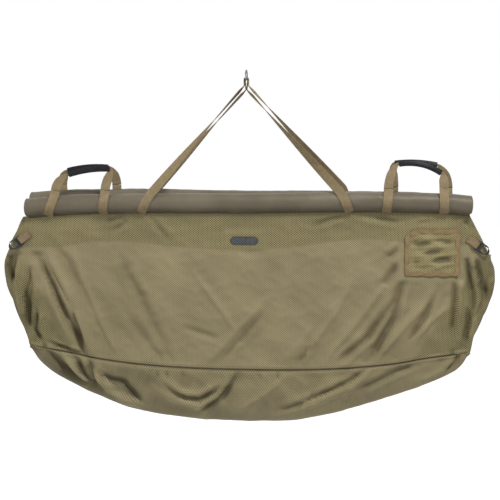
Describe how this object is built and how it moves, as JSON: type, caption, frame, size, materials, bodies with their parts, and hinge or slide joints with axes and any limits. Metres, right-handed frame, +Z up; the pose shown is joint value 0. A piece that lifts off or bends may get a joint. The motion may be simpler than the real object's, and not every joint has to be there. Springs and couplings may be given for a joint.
{
  "type": "weigh sling",
  "caption": "Hanging weigh sling for fish: a mesh bag between floating side tubes, with weigh straps to a D-ring, carry handles, end zips, snap clips and a pocket.",
  "frame": {"origin": "where a hook bears inside the top of the D-ring, from which the whole sling hangs", "axes": "+X along the tubes to the right, +Y from the front tube to the rear tube, +Z up"},
  "size_m": [1.312, 0.1062, 0.96],
  "materials": {
    "polished_steel": "polished",
    "foam": "matte",
    "sleeve_cloth": "matte",
    "tan_webbing": "matte",
    "grip_rubber": "matte",
    "coarse_mesh": "matte",
    "fine_mesh": "matte",
    "pocket_mesh": "matte",
    "binding_tape": "matte",
    "badge_rubber": "satin",
    "zip_tape": "matte",
    "clip_plastic": "satin",
    "slider_metal": "satin"
  },
  "bodies": {
    "hanging_ring": {"d_ring": "polished_steel"},
    "sling": {"inner_strap_loop": "tan_webbing", "outer_strap_loop": "tan_webbing", "bottom_gusset": "fine_mesh", "front_panel": "fine_mesh", "rear_panel": "fine_mesh", "left_front_end_panel": "fine_mesh", "right_front_end_panel": "fine_mesh", "left_rear_end_panel": "fine_mesh", "right_rear_end_panel": "fine_mesh", "left_front_zip_tape": "zip_tape", "right_front_zip_tape": "zip_tape", "left_rear_zip_tape": "zip_tape", "right_rear_zip_tape": "zip_tape"},
    "front_side": {"front_tube_foam": "foam", "front_tube_sleeve": "sleeve_cloth", "front_left_end_disc": "sleeve_cloth", "front_right_end_disc": "sleeve_cloth", "front_mesh_band": "coarse_mesh", "front_left_strap": "tan_webbing", "front_right_strap": "tan_webbing", "front_left_handle_foot_outer": "tan_webbing", "front_left_handle_foot_inner": "tan_webbing", "front_right_handle_foot_outer": "tan_webbing", "front_right_handle_foot_inner": "tan_webbing", "pocket_binding": "binding_tape", "pocket_mesh": "pocket_mesh", "badge": "badge_rubber", "left_clip_tab": "tan_webbing", "right_clip_tab": "tan_webbing"},
    "rear_side": {"rear_tube_foam": "foam", "rear_tube_sleeve": "sleeve_cloth", "rear_left_end_disc": "sleeve_cloth", "rear_right_end_disc": "sleeve_cloth", "rear_mesh_band": "coarse_mesh", "rear_left_strap": "tan_webbing", "rear_right_strap": "tan_webbing", "rear_left_handle_foot_outer": "tan_webbing", "rear_left_handle_foot_inner": "tan_webbing", "rear_right_handle_foot_outer": "tan_webbing", "rear_right_handle_foot_inner": "tan_webbing"},
    "front_left_handle": {"front_left_handle_webbing": "tan_webbing", "front_left_handle_grip": "grip_rubber"},
    "front_right_handle": {"front_right_handle_webbing": "tan_webbing", "front_right_handle_grip": "grip_rubber"},
    "rear_left_handle": {"rear_left_handle_webbing": "tan_webbing", "rear_left_handle_grip": "grip_rubber"},
    "rear_right_handle": {"rear_right_handle_webbing": "tan_webbing", "rear_right_handle_grip": "grip_rubber"},
    "left_slider": {"left_zip_slider": "slider_metal"},
    "right_slider": {"right_zip_slider": "slider_metal"},
    "left_pull": {"left_zip_pull": "slider_metal"},
    "right_pull": {"right_zip_pull": "slider_metal"},
    "left_clip": {"left_clip_body": "clip_plastic"},
    "right_clip": {"right_clip_body": "clip_plastic"},
    "left_gate": {"left_clip_gate": "clip_plastic"},
    "right_gate": {"right_clip_gate": "clip_plastic"}
  },
  "joints": [
    {"name": "ring_swing", "type": "hinge", "parent": "hanging_ring", "child": "sling", "pos_m": [0, 0, -0.0206], "axis": [0, 1, 0], "range_deg": [-40, 40]},
    {"name": "front_open", "type": "hinge", "parent": "sling", "child": "front_side", "pos_m": [0, -0.01626, -0.055], "axis": [-1, 0, 0], "range_deg": [0, 12]},
    {"name": "rear_open", "type": "hinge", "parent": "sling", "child": "rear_side", "pos_m": [0, 0.01626, -0.055], "axis": [1, 0, 0], "range_deg": [0, 12]},
    {"name": "front_left_handle_fold", "type": "hinge", "parent": "front_side", "child": "front_left_handle", "pos_m": [-0.4575, -0.04228, -0.31418], "axis": [0.9999, 0, 0.0135], "range_deg": [0, 120]},
    {"name": "front_right_handle_fold", "type": "hinge", "parent": "front_side", "child": "front_right_handle", "pos_m": [0.447, -0.04228, -0.30196], "axis": [0.9999, 0, 0.0135], "range_deg": [0, 120]},
    {"name": "rear_left_handle_fold", "type": "hinge", "parent": "rear_side", "child": "rear_left_handle", "pos_m": [-0.4375, 0.04228, -0.30489], "axis": [-1, 0, 0.0025], "range_deg": [0, 120]},
    {"name": "rear_right_handle_fold", "type": "hinge", "parent": "rear_side", "child": "rear_right_handle", "pos_m": [0.467, 0.04228, -0.30718], "axis": [-1, 0, 0.0025], "range_deg": [0, 120]},
    {"name": "left_zip_slide", "type": "hinge", "parent": "sling", "child": "left_slider", "pos_m": [-0.32095, 0, -0.545], "axis": [0, -1, 0], "range_deg": [0, 42]},
    {"name": "right_zip_slide", "type": "hinge", "parent": "sling", "child": "right_slider", "pos_m": [0.32095, 0, -0.545], "axis": [0, 1, 0], "range_deg": [0, 42]},
    {"name": "left_pull_flip", "type": "hinge", "parent": "left_slider", "child": "left_pull", "pos_m": [-0.64973, 0, -0.48316], "axis": [0, 1, 0], "range_deg": [0, 150]},
    {"name": "right_pull_flip", "type": "hinge", "parent": "right_slider", "child": "right_pull", "pos_m": [0.64973, 0, -0.48316], "axis": [0, -1, 0], "range_deg": [0, 150]},
    {"name": "left_clip_swing", "type": "hinge", "parent": "front_side", "child": "left_clip", "pos_m": [-0.61057, -0.03434, -0.45021], "axis": [-0.5736, 0, 0.8192], "range_deg": [0, 100]},
    {"name": "right_clip_swing", "type": "hinge", "parent": "front_side", "child": "right_clip", "pos_m": [0.61057, -0.03434, -0.45021], "axis": [-0.5736, 0, -0.8192], "range_deg": [0, 100]},
    {"name": "left_gate_open", "type": "hinge", "parent": "left_clip", "child": "left_gate", "pos_m": [-0.63181, -0.03434, -0.45091], "axis": [0, -1, 0], "range_deg": [0, 22], "stiffness_Nm_per_rad": 0.02, "springref_deg": -11.46},
    {"name": "right_gate_open", "type": "hinge", "parent": "right_clip", "child": "right_gate", "pos_m": [0.63181, -0.03434, -0.45091], "axis": [0, 1, 0], "range_deg": [0, 22], "stiffness_Nm_per_rad": 0.02, "springref_deg": -11.46}
  ],
  "couplings": [
    {"joint": "rear_open", "follows": "front_open", "ratio": 1},
    {"joint": "left_zip_slide", "follows": "front_open", "ratio": 3.5},
    {"joint": "right_zip_slide", "follows": "front_open", "ratio": 3.5}
  ]
}
